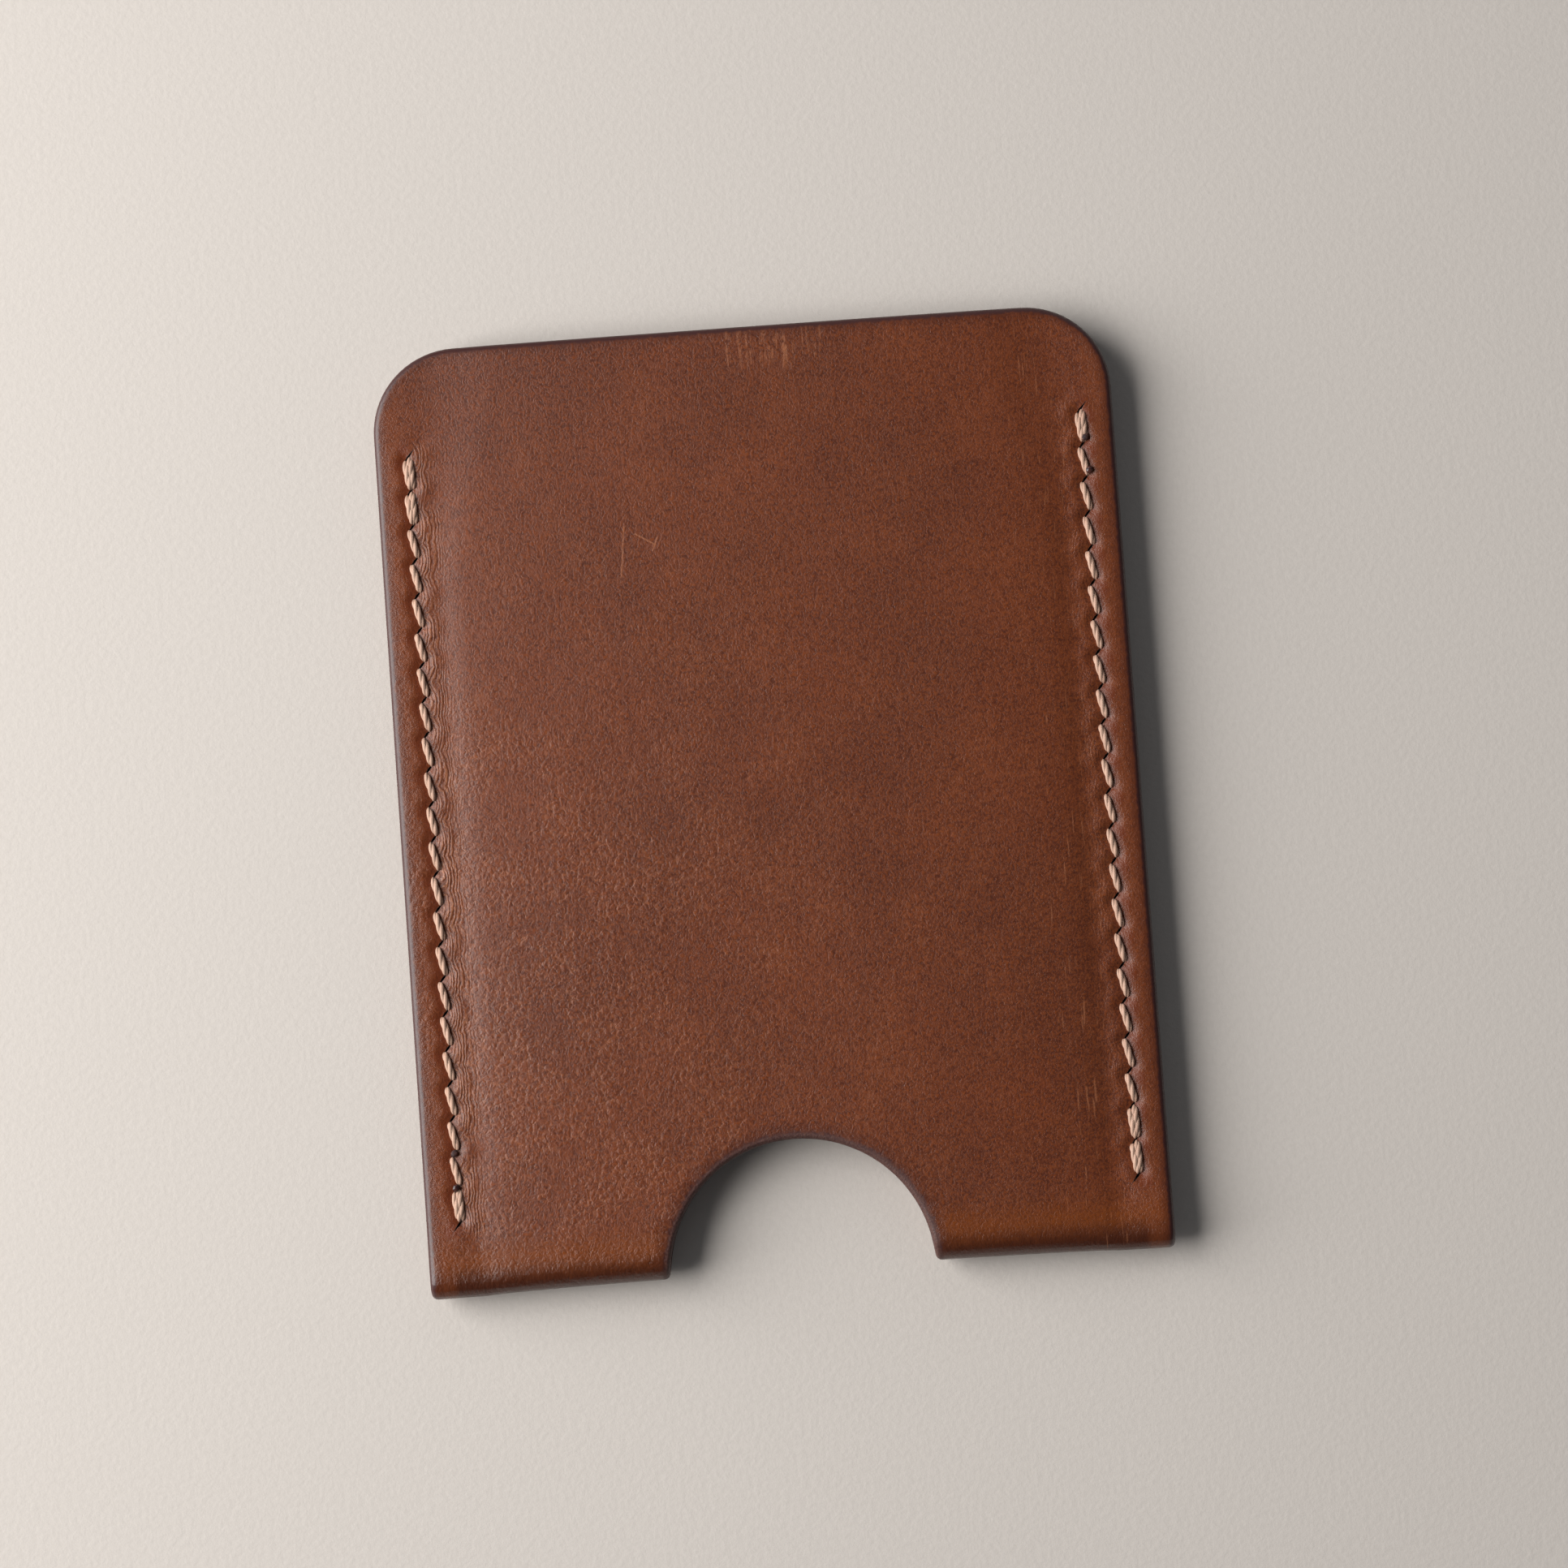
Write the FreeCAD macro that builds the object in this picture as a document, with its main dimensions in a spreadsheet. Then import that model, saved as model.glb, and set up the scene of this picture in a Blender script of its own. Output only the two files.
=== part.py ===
import FreeCAD, Part

# A slim card holder, hand made from one strip of bridle-tan leather.
#
# The strip is folded in half at the bottom and saddle stitched down both long sides, so the
# top stays open as the mouth. A round hole punched on the fold line becomes a thumb notch
# once the strip is folded, and cards are pushed up through it. Contact cement bonds the two
# layers along each seam. One waxed thread per seam is worked with two needles, and its two
# ends are singed into beads on the front.
#
# Frame: millimetres, lying on its back. +X across the holder, +Y from the fold to the mouth,
# +Z out of the front. The origin is on the resting surface, under the middle of its box.

import math
import os
import re

import Sketcher
from FreeCAD import Placement, Rotation, Vector

OUTPUT_FOLDER = "parts"

# Driving dimensions: alias, value in millimetres, degrees or a count, and what it sets.
DIMENSIONS = (
    ("holder_width", 71.8, "outside width"),
    ("holder_height", 92.0, "outside height, mouth to the pinched ends of the fold"),
    ("leather_thick", 1.5, "thickness of the leather"),
    ("glue_thick", 0.1, "thickness of the contact cement"),
    ("glue_width", 4.8, "width of the cemented strip down each side"),
    ("pocket_gap", 1.9, "room for cards between the panels"),
    ("bulge_run", 8.0, "how far inward the pocket takes to open fully"),
    ("corner_radius", 8.2, "rounding of the mouth corners"),
    ("notch_diameter", 25.6, "round punch on the fold line"),
    ("edge_bevel", 0.5, "burnished bevel down each side"),
    ("seam_margin", 3.2, "stitch line from the side edge"),
    ("seam_start", 10.4, "first awl hole from the mouth"),
    ("stitch_pitch", 3.38, "awl hole to awl hole"),
    ("stitch_count", 22, "stitches in each seam"),
    ("thread_diameter", 0.58, "waxed thread"),
    ("strand_reach", 0.425, "each strand from the middle of its slit"),
    ("slit_clearance", 0.04, "room around a strand in its slit"),
    ("slit_angle", 50.0, "slant of the slits from the X axis"),
    ("thread_lift", 0.02, "room between a stitch and the leather"),
    ("thread_bend", 0.33, "radius of a strand where it turns into a slit"),
    ("bead_diameter", 0.7, "singed end of a thread"),
    ("bead_gap", 0.02, "room between a bead and its strand"),
)

# Lengths and places worked out from the dimensions, each in terms of names above it. The
# fold line is where the flat strip was creased. Each panel keeps its length from there to
# the mouth, so a fuller pocket draws the fold up a little.
DERIVED = (
    ("right_edge_x", "holder_width / 2"),
    ("left_edge_x", "-right_edge_x"),
    ("right_glue_x", "right_edge_x - glue_width"),
    ("left_glue_x", "-right_glue_x"),
    ("right_seam_x", "right_edge_x - seam_margin"),
    ("left_seam_x", "-right_seam_x"),
    ("mouth_y", "holder_height / 2"),
    ("first_slit_y", "mouth_y - seam_start"),
    ("seam_gap", "glue_thick / 2"),
    ("open_gap", "pocket_gap / 2"),
    ("middle_z", "open_gap + leather_thick"),
    ("glue_z", "middle_z - seam_gap"),
    ("seam_reach", "seam_gap + leather_thick"),
    ("seam_fold_run", "pi / 2 * (seam_gap + leather_thick / 2)"),
    ("fold_line_y", "seam_reach - mouth_y - seam_fold_run"),
    ("seam_fold_y", "fold_line_y + seam_fold_run"),
    ("slit_radius", "thread_diameter / 2 + slit_clearance"),
    ("slit_spine", "2 * strand_reach"),
    ("bead_radius", "bead_diameter / 2"),
    ("row_length", "stitch_pitch * stitch_count"),
    ("slits_in_row", "stitch_count + 1"),
)

# The pocket opens along an S curve: share of the bulge run, and share of the full opening.
BULGE_CURVE = ((0.0, 0.0), (0.3, 0.16), (0.7, 0.84), (1.0, 1.0))

# Ends of a sketch edge, and the fixed geometry that every sketch starts with.
START, END, CENTRE = 1, 2, 3
X_AXIS, Y_AXIS = -1, -2

UP = Vector(0, 0, 1)
LEFT, RIGHT = "left", "right"

doc = FreeCAD.newDocument("CardHolder")


# ---------------------------------------------------------------- dimensions
def make_sheet():
    sheet = doc.addObject("Spreadsheet::Sheet", "Dimensions")
    for row, (alias, value, note) in enumerate(DIMENSIONS, start=1):
        sheet.set(f"A{row}", str(value))
        sheet.setAlias(f"A{row}", alias)
        sheet.set(f"B{row}", note)
    doc.recompute()
    return sheet


def section_values():
    """Names and rules for the fold's sections, from the left side to the right."""
    left = [
        ("left_edge_x", "seam_gap", "seam_reach - edge_bevel"),
        ("left_edge_x + edge_bevel", "seam_gap", "seam_reach"),
    ]
    for run, opening in BULGE_CURVE:
        gap = f"seam_gap + {opening} * (open_gap - seam_gap)"
        left.append((f"left_glue_x + {run} * bulge_run", gap, f"{gap} + leather_thick"))
    right = [(f"-({x})", gap, reach) for x, gap, reach in reversed(left)]
    rules = []
    for number, (x, gap, reach) in enumerate(left + right, start=1):
        section = f"section{number}"
        rules.append((f"{section}_x", x))
        rules.append((f"{section}_gap", gap))
        rules.append((f"{section}_reach", reach))
        fold_run = f"pi / 2 * ({section}_gap + leather_thick / 2)"
        rules.append((f"{section}_fold_y", f"fold_line_y + {fold_run}"))
    return rules


SECTION_COUNT = 2 * (len(BULGE_CURVE) + 2)
RULES = dict(DERIVED) | dict(section_values())


def reference(name):
    """A dimension or a derived value, as an expression names it."""
    return f"Layout.{name}" if name in RULES else f"Dimensions.{name}"


def make_layout():
    """Holds every derived value, bound to the sheet."""
    layout = doc.addObject("App::VarSet", "Layout")
    for name, rule in RULES.items():
        layout.addProperty("App::PropertyFloat", name, "Derived")
        known = [word for word in re.findall(r"[a-z][a-z_0-9]+", rule) if word != "pi"]
        for word in sorted(set(known), key=len, reverse=True):
            rule = re.sub(rf"(?<![\w.]){word}(?!\w)", reference(word), rule)
        layout.setExpression(name, rule)
    doc.recompute()
    return layout


sheet = make_sheet()
layout = make_layout()


def size(name):
    """The number behind a dimension or a derived value."""
    return getattr(layout, name) if name in RULES else float(sheet.get(name))


# ---------------------------------------------------------------- sketching helpers
def new_body(label):
    body = doc.addObject("PartDesign::Body", label)
    body.Label = label
    return body


def origin_feature(body, role):
    return next(feature for feature in body.Origin.OriginFeatures if feature.Role == role)


def new_sketch(body, name, plane="XY_Plane"):
    sketch = body.newObject("Sketcher::SketchObject", name)
    sketch.AttachmentSupport = [(origin_feature(body, plane), "")]
    sketch.MapMode = "FlatFace"
    return sketch


def relate(sketch, kind, *references):
    sketch.addConstraint(Sketcher.Constraint(kind, *references))


def dimension(sketch, kind, *references, to, unit=""):
    """Adds a dimension and binds it to a named value."""
    number = math.radians(size(to)) if unit else size(to)
    index = sketch.addConstraint(Sketcher.Constraint(kind, *references, number))
    sketch.setExpression(f"Constraints[{index}]", f"{reference(to)}{unit}")


def line(sketch, start, end, construction=False):
    return sketch.addGeometry(Part.LineSegment(start, end), construction)


def arc(sketch, centre, radius, start_angle, end_angle):
    circle = Part.Circle(centre, UP, radius)
    return sketch.addGeometry(Part.ArcOfCircle(circle, start_angle, end_angle), False)


def through_pocket(body, sketch, name):
    pocket = body.newObject("PartDesign::Pocket", name)
    pocket.Profile = sketch
    pocket.Type = "ThroughAll"
    pocket.Midplane = True
    return pocket


def check_cut(body, volume_before):
    """Stops the build if the body's last cut took nothing away."""
    doc.recompute()
    if body.Shape.Volume >= volume_before:
        raise RuntimeError(f"{body.Tip.Label} removed nothing from {body.Label}")


# ---------------------------------------------------------------- leather body
def fold_section(body, number):
    """The strip's section across X at one place: two panels joined by the fold."""
    section = f"section{number}"
    sketch = new_sketch(body, f"FoldSection{number}", "YZ_Plane")
    sketch.setExpression(".AttachmentOffset.Base.z", reference(f"{section}_x"))
    inner, outer = size(f"{section}_gap"), size(f"{section}_reach")
    centre = Vector(size(f"{section}_fold_y"), size("middle_z"), 0)
    mouth = Vector(size("mouth_y"), size("middle_z"), 0)

    def level(reach):
        """The two ends of a panel face, at the fold and at the mouth."""
        return centre + Vector(0, reach, 0), mouth + Vector(0, reach, 0)

    front_outer = line(sketch, *reversed(level(outer)))
    fold_outer = arc(sketch, centre, outer, math.pi / 2, 1.5 * math.pi)
    back_outer = line(sketch, *level(-outer))
    back_lip = line(sketch, level(-outer)[1], level(-inner)[1])
    back_inner = line(sketch, *reversed(level(-inner)))
    fold_inner = arc(sketch, centre, inner, math.pi / 2, 1.5 * math.pi)
    front_inner = line(sketch, *level(inner))
    front_lip = line(sketch, level(inner)[1], level(outer)[1])

    relate(sketch, "Tangent", front_outer, END, fold_outer, START)
    relate(sketch, "Tangent", fold_outer, END, back_outer, START)
    relate(sketch, "Coincident", back_outer, END, back_lip, START)
    relate(sketch, "Coincident", back_lip, END, back_inner, START)
    relate(sketch, "Tangent", back_inner, END, fold_inner, END)
    relate(sketch, "Tangent", fold_inner, START, front_inner, START)
    relate(sketch, "Coincident", front_inner, END, front_lip, START)
    relate(sketch, "Coincident", front_lip, END, front_outer, START)
    relate(sketch, "Coincident", fold_inner, CENTRE, fold_outer, CENTRE)
    for face in (front_outer, back_outer, back_inner, front_inner):
        relate(sketch, "Horizontal", face)
    for lip in (front_lip, back_lip):
        relate(sketch, "Vertical", lip)
        dimension(sketch, "DistanceX", X_AXIS, START, lip, START, to="mouth_y")
    dimension(sketch, "DistanceX", X_AXIS, START, fold_outer, CENTRE, to=f"{section}_fold_y")
    dimension(sketch, "DistanceY", X_AXIS, START, fold_outer, CENTRE, to="middle_z")
    dimension(sketch, "Radius", fold_outer, to=f"{section}_reach")
    dimension(sketch, "Radius", fold_inner, to=f"{section}_gap")
    return sketch


def cut_notch(body):
    """The punched hole, which the fold turns into a notch through both panels."""
    volume = body.Shape.Volume
    sketch = new_sketch(body, "NotchCircle")
    centre = Vector(0, size("fold_line_y"), 0)
    circle = sketch.addGeometry(Part.Circle(centre, UP, size("notch_diameter") / 2), False)
    relate(sketch, "PointOnObject", circle, CENTRE, Y_AXIS)
    dimension(sketch, "DistanceY", X_AXIS, START, circle, CENTRE, to="fold_line_y")
    dimension(sketch, "Diameter", circle, to="notch_diameter")
    through_pocket(body, sketch, "ThumbNotch")
    check_cut(body, volume)


def cut_corners(body, sides=(LEFT, RIGHT)):
    """Rounds the mouth corners: a cut between the square corner and its arc."""
    volume = body.Shape.Volume
    sketch = new_sketch(body, f"{body.Label}_corners")
    radius = size("corner_radius")
    for side in sides:
        corner = Vector(size(f"{side}_edge_x"), size("mouth_y"), 0)
        centre = corner - Vector(math.copysign(radius, corner.x), radius, 0)
        begin = 0.0 if side == RIGHT else math.pi / 2
        at_side, at_mouth = (START, END) if side == RIGHT else (END, START)
        rounding = arc(sketch, centre, radius, begin, begin + math.pi / 2)
        side_run = line(sketch, Vector(corner.x, centre.y, 0), corner)
        mouth_run = line(sketch, corner, Vector(centre.x, corner.y, 0))
        relate(sketch, "Tangent", rounding, at_side, side_run, START)
        relate(sketch, "Coincident", side_run, END, mouth_run, START)
        relate(sketch, "Tangent", mouth_run, END, rounding, at_mouth)
        relate(sketch, "Vertical", side_run)
        relate(sketch, "Horizontal", mouth_run)
        dimension(sketch, "Radius", rounding, to="corner_radius")
        dimension(sketch, "DistanceX", X_AXIS, START, side_run, END, to=f"{side}_edge_x")
        dimension(sketch, "DistanceY", X_AXIS, START, side_run, END, to="mouth_y")
    through_pocket(body, sketch, f"{body.Label}_rounded")
    check_cut(body, volume)


def slit_sketch(body, side):
    """The first awl slit of a seam: a slanted slot that just takes two strands."""
    sketch = new_sketch(body, f"{body.Label}_{side}_slit")
    middle = Vector(size(f"{side}_seam_x"), size("first_slit_y"), 0)
    radius, turn = size("slit_radius"), math.radians(size("slit_angle"))
    wall = Vector(-math.sin(turn), math.cos(turn), 0) * radius
    high, low = middle + slit_reach(), middle - slit_reach()
    quarter = math.pi / 2

    high_end = arc(sketch, high, radius, turn - quarter, turn + quarter)
    upper_wall = line(sketch, high + wall, low + wall)
    low_end = arc(sketch, low, radius, turn + quarter, turn + 3 * quarter)
    lower_wall = line(sketch, low - wall, high - wall)
    spine = line(sketch, low, high, construction=True)
    centre = sketch.addGeometry(Part.Point(middle), True)

    relate(sketch, "Tangent", high_end, END, upper_wall, START)
    relate(sketch, "Tangent", upper_wall, END, low_end, START)
    relate(sketch, "Tangent", low_end, END, lower_wall, START)
    relate(sketch, "Tangent", lower_wall, END, high_end, START)
    relate(sketch, "Equal", high_end, low_end)
    relate(sketch, "Coincident", spine, START, low_end, CENTRE)
    relate(sketch, "Coincident", spine, END, high_end, CENTRE)
    relate(sketch, "Symmetric", spine, START, spine, END, centre, START)
    dimension(sketch, "Radius", high_end, to="slit_radius")
    dimension(sketch, "Distance", spine, to="slit_spine")
    dimension(sketch, "Angle", spine, to="slit_angle", unit=" * 1 deg")
    dimension(sketch, "DistanceX", X_AXIS, START, centre, START, to=f"{side}_seam_x")
    dimension(sketch, "DistanceY", X_AXIS, START, centre, START, to="first_slit_y")
    return sketch


def slit_reach():
    """From the middle of a slit to the strand at its upper right end."""
    turn = math.radians(size("slit_angle"))
    return Vector(math.cos(turn), math.sin(turn), 0) * size("strand_reach")


def cut_slits(body, sides=(LEFT, RIGHT)):
    """Pricks each seam: the first slit, then the same one repeated down to the last."""
    for side in sides:
        volume = body.Shape.Volume
        first = through_pocket(body, slit_sketch(body, side), f"{body.Label}_{side}_first")
        check_cut(body, volume)
        volume = body.Shape.Volume
        row = body.newObject("PartDesign::LinearPattern", f"{body.Label}_{side}_row")
        row.Originals = [first]
        row.Direction = (origin_feature(body, "Y_Axis"), [""])
        row.Reversed = True
        row.setExpression("Length", reference("row_length"))
        row.setExpression("Occurrences", reference("slits_in_row"))
        body.Tip = row
        check_cut(body, volume)


def make_leather_body():
    body = new_body("leather_body")
    sections = [fold_section(body, number) for number in range(1, SECTION_COUNT + 1)]
    doc.recompute()
    loft = body.newObject("PartDesign::AdditiveLoft", "FoldedStrip")
    loft.Profile = sections[0]
    loft.Sections = sections[1:]
    loft.Ruled = True
    doc.recompute()
    cut_notch(body)
    cut_corners(body)
    cut_slits(body)
    return body


# ---------------------------------------------------------------- contact cement
def make_glue_line(side):
    """The film of cement down one seam, trimmed and pricked along with the leather."""
    body = new_body(f"{side}_glue_line")
    sketch = new_sketch(body, f"{body.Label}_strip")
    sketch.setExpression(".AttachmentOffset.Base.z", reference("glue_z"))
    outer, inner = size(f"{side}_edge_x"), size(f"{side}_glue_x")
    low, high = size("seam_fold_y"), size("mouth_y")
    corners = [Vector(outer, low), Vector(outer, high), Vector(inner, high), Vector(inner, low)]
    runs = [line(sketch, start, end) for start, end in zip(corners, corners[1:] + corners[:1])]
    outer_run, mouth_run, inner_run, fold_run = runs
    for run, following in zip(runs, runs[1:] + runs[:1]):
        relate(sketch, "Coincident", run, END, following, START)
    for run in (outer_run, inner_run):
        relate(sketch, "Vertical", run)
    for run in (mouth_run, fold_run):
        relate(sketch, "Horizontal", run)
    dimension(sketch, "DistanceX", X_AXIS, START, outer_run, START, to=f"{side}_edge_x")
    dimension(sketch, "DistanceX", X_AXIS, START, inner_run, START, to=f"{side}_glue_x")
    dimension(sketch, "DistanceY", X_AXIS, START, outer_run, START, to="seam_fold_y")
    dimension(sketch, "DistanceY", X_AXIS, START, outer_run, END, to="mouth_y")
    pad = body.newObject("PartDesign::Pad", f"{body.Label}_film")
    pad.Profile = sketch
    pad.setExpression("Length", reference("glue_thick"))
    doc.recompute()
    cut_corners(body, (side,))
    cut_slits(body, (side,))
    return body


# ---------------------------------------------------------------- thread
def slit_middle(number):
    """The middle of a slit of the left seam, halfway through the leather."""
    y = size("first_slit_y") - number * size("stitch_pitch")
    return Vector(size("left_seam_x"), y, size("middle_z"))


def upper_end(number):
    return slit_middle(number) + slit_reach()


def lower_end(number):
    return slit_middle(number) - slit_reach()


def stitch_level():
    """The rise from halfway through the leather to the middle of a stitch on its face."""
    return UP * (size("seam_reach") + size("thread_lift") + size("thread_diameter") / 2)


def strand_path(points):
    """A wire through the points, its corners rounded to the thread's bend."""
    bend = size("thread_bend")
    edges = []
    at = points[0]
    for before, corner, after in zip(points, points[1:], points[2:]):
        arriving, leaving = (before - corner).normalize(), (after - corner).normalize()
        half_turn = (math.pi - arriving.getAngle(leaving)) / 2
        back_off = bend * math.tan(half_turn)
        apex = corner + (arriving + leaving).normalize() * (bend / math.cos(half_turn) - bend)
        begin, finish = corner + arriving * back_off, corner + leaving * back_off
        edges.append(Part.LineSegment(at, begin).toShape())
        edges.append(Part.Arc(begin, apex, finish).toShape())
        at = finish
    edges.append(Part.LineSegment(at, points[-1]).toShape())
    return Part.Wire(edges)


def strand(points):
    """A round strand of thread swept along its path."""
    heading = (points[1] - points[0]).normalize()
    profile = Part.Wire(Part.makeCircle(size("thread_diameter") / 2, points[0], heading))
    return strand_path(points).makePipeShell([profile], True, False)


def running_strand(front_first):
    """One needle's way down the seam, in and out of every slit."""
    on_front = front_first
    points = [lower_end(0) if on_front else upper_end(0)]
    for number in range(int(size("stitch_count"))):
        rise = stitch_level() if on_front else -stitch_level()
        leave = lower_end(number) if on_front else upper_end(number)
        arrive = upper_end(number + 1) if on_front else lower_end(number + 1)
        points += [leave + rise, arrive + rise]
        on_front = not on_front
    return strand(points + [arrive])


def doubled_stitch(start, finish):
    """A second pass beside an end stitch. It runs up to the other strand and joins it there."""
    rise = stitch_level()
    short = (finish - start).normalize() * size("thread_bend")
    return strand([start, start + rise, finish + rise - short])


def left_seam_thread():
    last = int(size("stitch_count"))
    extra = [
        running_strand(False),
        doubled_stitch(upper_end(0), upper_end(1)),
        doubled_stitch(lower_end(last), lower_end(last - 1)),
    ]
    return running_strand(True).fuse(extra)


def seam_placement(side):
    """The right seam is the left one turned half a turn about the middle of its row."""
    if side == LEFT:
        return Placement()
    row_middle = size("first_slit_y") - size("row_length") / 2
    return Placement(Vector(0, 2 * row_middle, 0), Rotation(UP, 180))


def make_seam_thread(side, shape):
    thread = doc.addObject("Part::Feature", f"{side}_seam_thread")
    thread.Label = f"{side}_seam_thread"
    thread.Shape = shape
    thread.Placement = seam_placement(side)
    return thread


# ---------------------------------------------------------------- singed ends
def make_thread_ends(side):
    """The two beads where a thread's ends were cut short and melted, beside the last slits."""
    label = f"{side}_thread_ends"
    clear = size("bead_radius") + size("thread_diameter") / 2 + size("bead_gap")
    beside = Vector(-clear, 0, size("seam_reach") + size("bead_radius"))
    last = int(size("stitch_count"))
    beads = []
    for number in (last - 2, last - 1):
        bead = doc.addObject("Part::Sphere", f"{label}_bead")
        bead.setExpression("Radius", reference("bead_radius"))
        bead.Placement = Placement(lower_end(number) + beside, Rotation())
        beads.append(bead)
    pair = doc.addObject("Part::Compound", label)
    pair.Label = label
    pair.Links = beads
    pair.Placement = seam_placement(side)
    return pair


# ---------------------------------------------------------------- build and export
def check_object(thing):
    problems = [state for state in thing.State if state in ("Invalid", "Error")]
    if problems:
        raise RuntimeError(f"{thing.Label} is {problems}")
    if hasattr(thing, "Shape") and (thing.Shape.isNull() or not thing.Shape.isValid()):
        raise RuntimeError(f"{thing.Label} has a bad shape")


def main():
    parts = [make_leather_body()]
    parts += [make_glue_line(side) for side in (LEFT, RIGHT)]
    thread = left_seam_thread()
    parts += [make_seam_thread(side, thread) for side in (LEFT, RIGHT)]
    parts += [make_thread_ends(side) for side in (LEFT, RIGHT)]
    doc.recompute()
    for thing in doc.Objects:
        if thing.isDerivedFrom("Part::Feature") and not thing.isDerivedFrom("PartDesign::FeatureBase"):
            check_object(thing)
    os.makedirs(OUTPUT_FOLDER, exist_ok=True)
    for part in parts:
        check_object(part)
        part.Shape.exportStep(f"{OUTPUT_FOLDER}/{part.Label}.step")
        box = part.Shape.BoundBox
        print(part.Label, len(part.Shape.Solids), "solids", round(part.Shape.Volume, 3), "mm3")
        print("   ", box)


main()
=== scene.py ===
import math

import bmesh
import bpy
from mathutils import Matrix, Vector, noise


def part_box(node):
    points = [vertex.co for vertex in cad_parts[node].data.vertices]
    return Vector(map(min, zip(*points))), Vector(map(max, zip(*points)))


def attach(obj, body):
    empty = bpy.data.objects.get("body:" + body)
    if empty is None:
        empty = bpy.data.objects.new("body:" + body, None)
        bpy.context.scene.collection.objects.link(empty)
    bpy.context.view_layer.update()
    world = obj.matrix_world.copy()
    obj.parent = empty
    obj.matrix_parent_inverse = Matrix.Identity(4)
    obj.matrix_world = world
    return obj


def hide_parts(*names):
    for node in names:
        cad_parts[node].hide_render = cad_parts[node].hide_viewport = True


# A saddle stitched card holder, lying on its back. Shapes are drawn in millimetres and
# brought to metres as each piece is finished.
mm = 0.001

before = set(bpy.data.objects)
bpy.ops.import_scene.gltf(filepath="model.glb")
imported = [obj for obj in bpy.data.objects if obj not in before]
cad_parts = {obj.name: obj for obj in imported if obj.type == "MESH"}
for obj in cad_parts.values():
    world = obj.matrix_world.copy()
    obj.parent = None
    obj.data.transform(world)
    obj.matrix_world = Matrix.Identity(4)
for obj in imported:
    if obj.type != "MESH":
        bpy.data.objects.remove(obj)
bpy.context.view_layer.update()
leatherLow, leatherHigh = (Vector(corner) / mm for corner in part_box("leather_body"))
middleZ = (leatherLow.z + leatherHigh.z) / 2
print("frame loaded, leather", leatherLow, leatherHigh)


def pieceFromBmesh(bm, name, smooth=True):
    bmesh.ops.scale(bm, vec=(mm, mm, mm), verts=bm.verts)
    mesh = bpy.data.meshes.new(name)
    bm.to_mesh(mesh)
    bm.free()
    if smooth:
        mesh.shade_smooth()
    piece = bpy.data.objects.new(name, mesh)
    bpy.context.collection.objects.link(piece)
    return piece


def cutAway(bm, cutter):
    # boolean difference of two bmeshes, by way of two scratch objects
    scratch = []
    for source in (bm, cutter):
        mesh = bpy.data.meshes.new("scratch")
        source.to_mesh(mesh)
        source.free()
        thing = bpy.data.objects.new("scratch", mesh)
        bpy.context.collection.objects.link(thing)
        scratch.append(thing)
    body, tool = scratch
    cut = body.modifiers.new("cut", "BOOLEAN")
    cut.operation = "DIFFERENCE"
    cut.solver = "EXACT"
    cut.object = tool
    shown = body.evaluated_get(bpy.context.evaluated_depsgraph_get())
    result = bmesh.new()
    result.from_mesh(shown.to_mesh())
    shown.to_mesh_clear()
    for thing in scratch:
        mesh = thing.data
        bpy.data.objects.remove(thing)
        bpy.data.meshes.remove(mesh)
    return result


def smoothRamp(t):
    t = min(max(t, 0.0), 1.0)
    return t * t * (3 - 2 * t)


leather = dict(
    thick=1.5,          # of the hide
    glueThick=0.1,      # cement between the two layers
    glueWidth=4.8,      # cemented strip down each side
    pocketGap=1.9,      # opening between the panels
    bulgeRun=4.6,       # how quickly the panels part beside the seam
    startsOver=0.8,     # and how far over the cement they start to
    shoulder=3.5,       # rounding of the step where they part
    crownShare=0.24,    # part of the opening that is an even crown
    calmMouth=24.0,     # the shoulder softens this far below the mouth
    calmShoulder=5.0,   # by this much
    gentleMouth=0.9,    # share by which the panels part more gently there
    gentleFold=0.35,    # and by the fold
    mouthShut=0.2,      # share by which the opening is less at the mouth
    foldSpring=0.22,    # how far the fold springs open at its two ends
    springRun=5.5,      # and how far up the panels that goes
    foldRelief=0.25,    # share of the relief that is left round the fold
    waveAcross=24.0,    # size of the broad waves
    waveDown=30.0,
    waveHeight=0.12,    # broad waves of the hide, and the small ones on them
    rippleHeight=0.025,
    sink=0.09,          # the waves lie this far below the true surface
    cornerRadius=8.2,   # mouth corners
    notchRadius=12.8,   # punch on the fold line
    grainBevel=0.62,    # burnished round-over of the outer rim
    fleshBevel=0.1,     # slight easing of the inner rim
)

# cells of the leather's mesh, in millimetres
cells = dict(
    coarse=2.4,         # in the open panel
    middle=0.8,
    fine=0.36,          # beside the stitches
    fold=0.42,
    foldRows=10,
    fineFrom=1.4,       # the fine zone, from the side edge
    fineTo=6.2,
    middleTo=17.0,      # and the middle zone goes on to here
    rowsPerStitch=8,
    mouthRoom=0.7,      # no cut nearer than this to the mouth
    foldRoom=0.15,      # or to the fold line, where the fold's own rows take over
    foldFrom=0.1,
)

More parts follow.
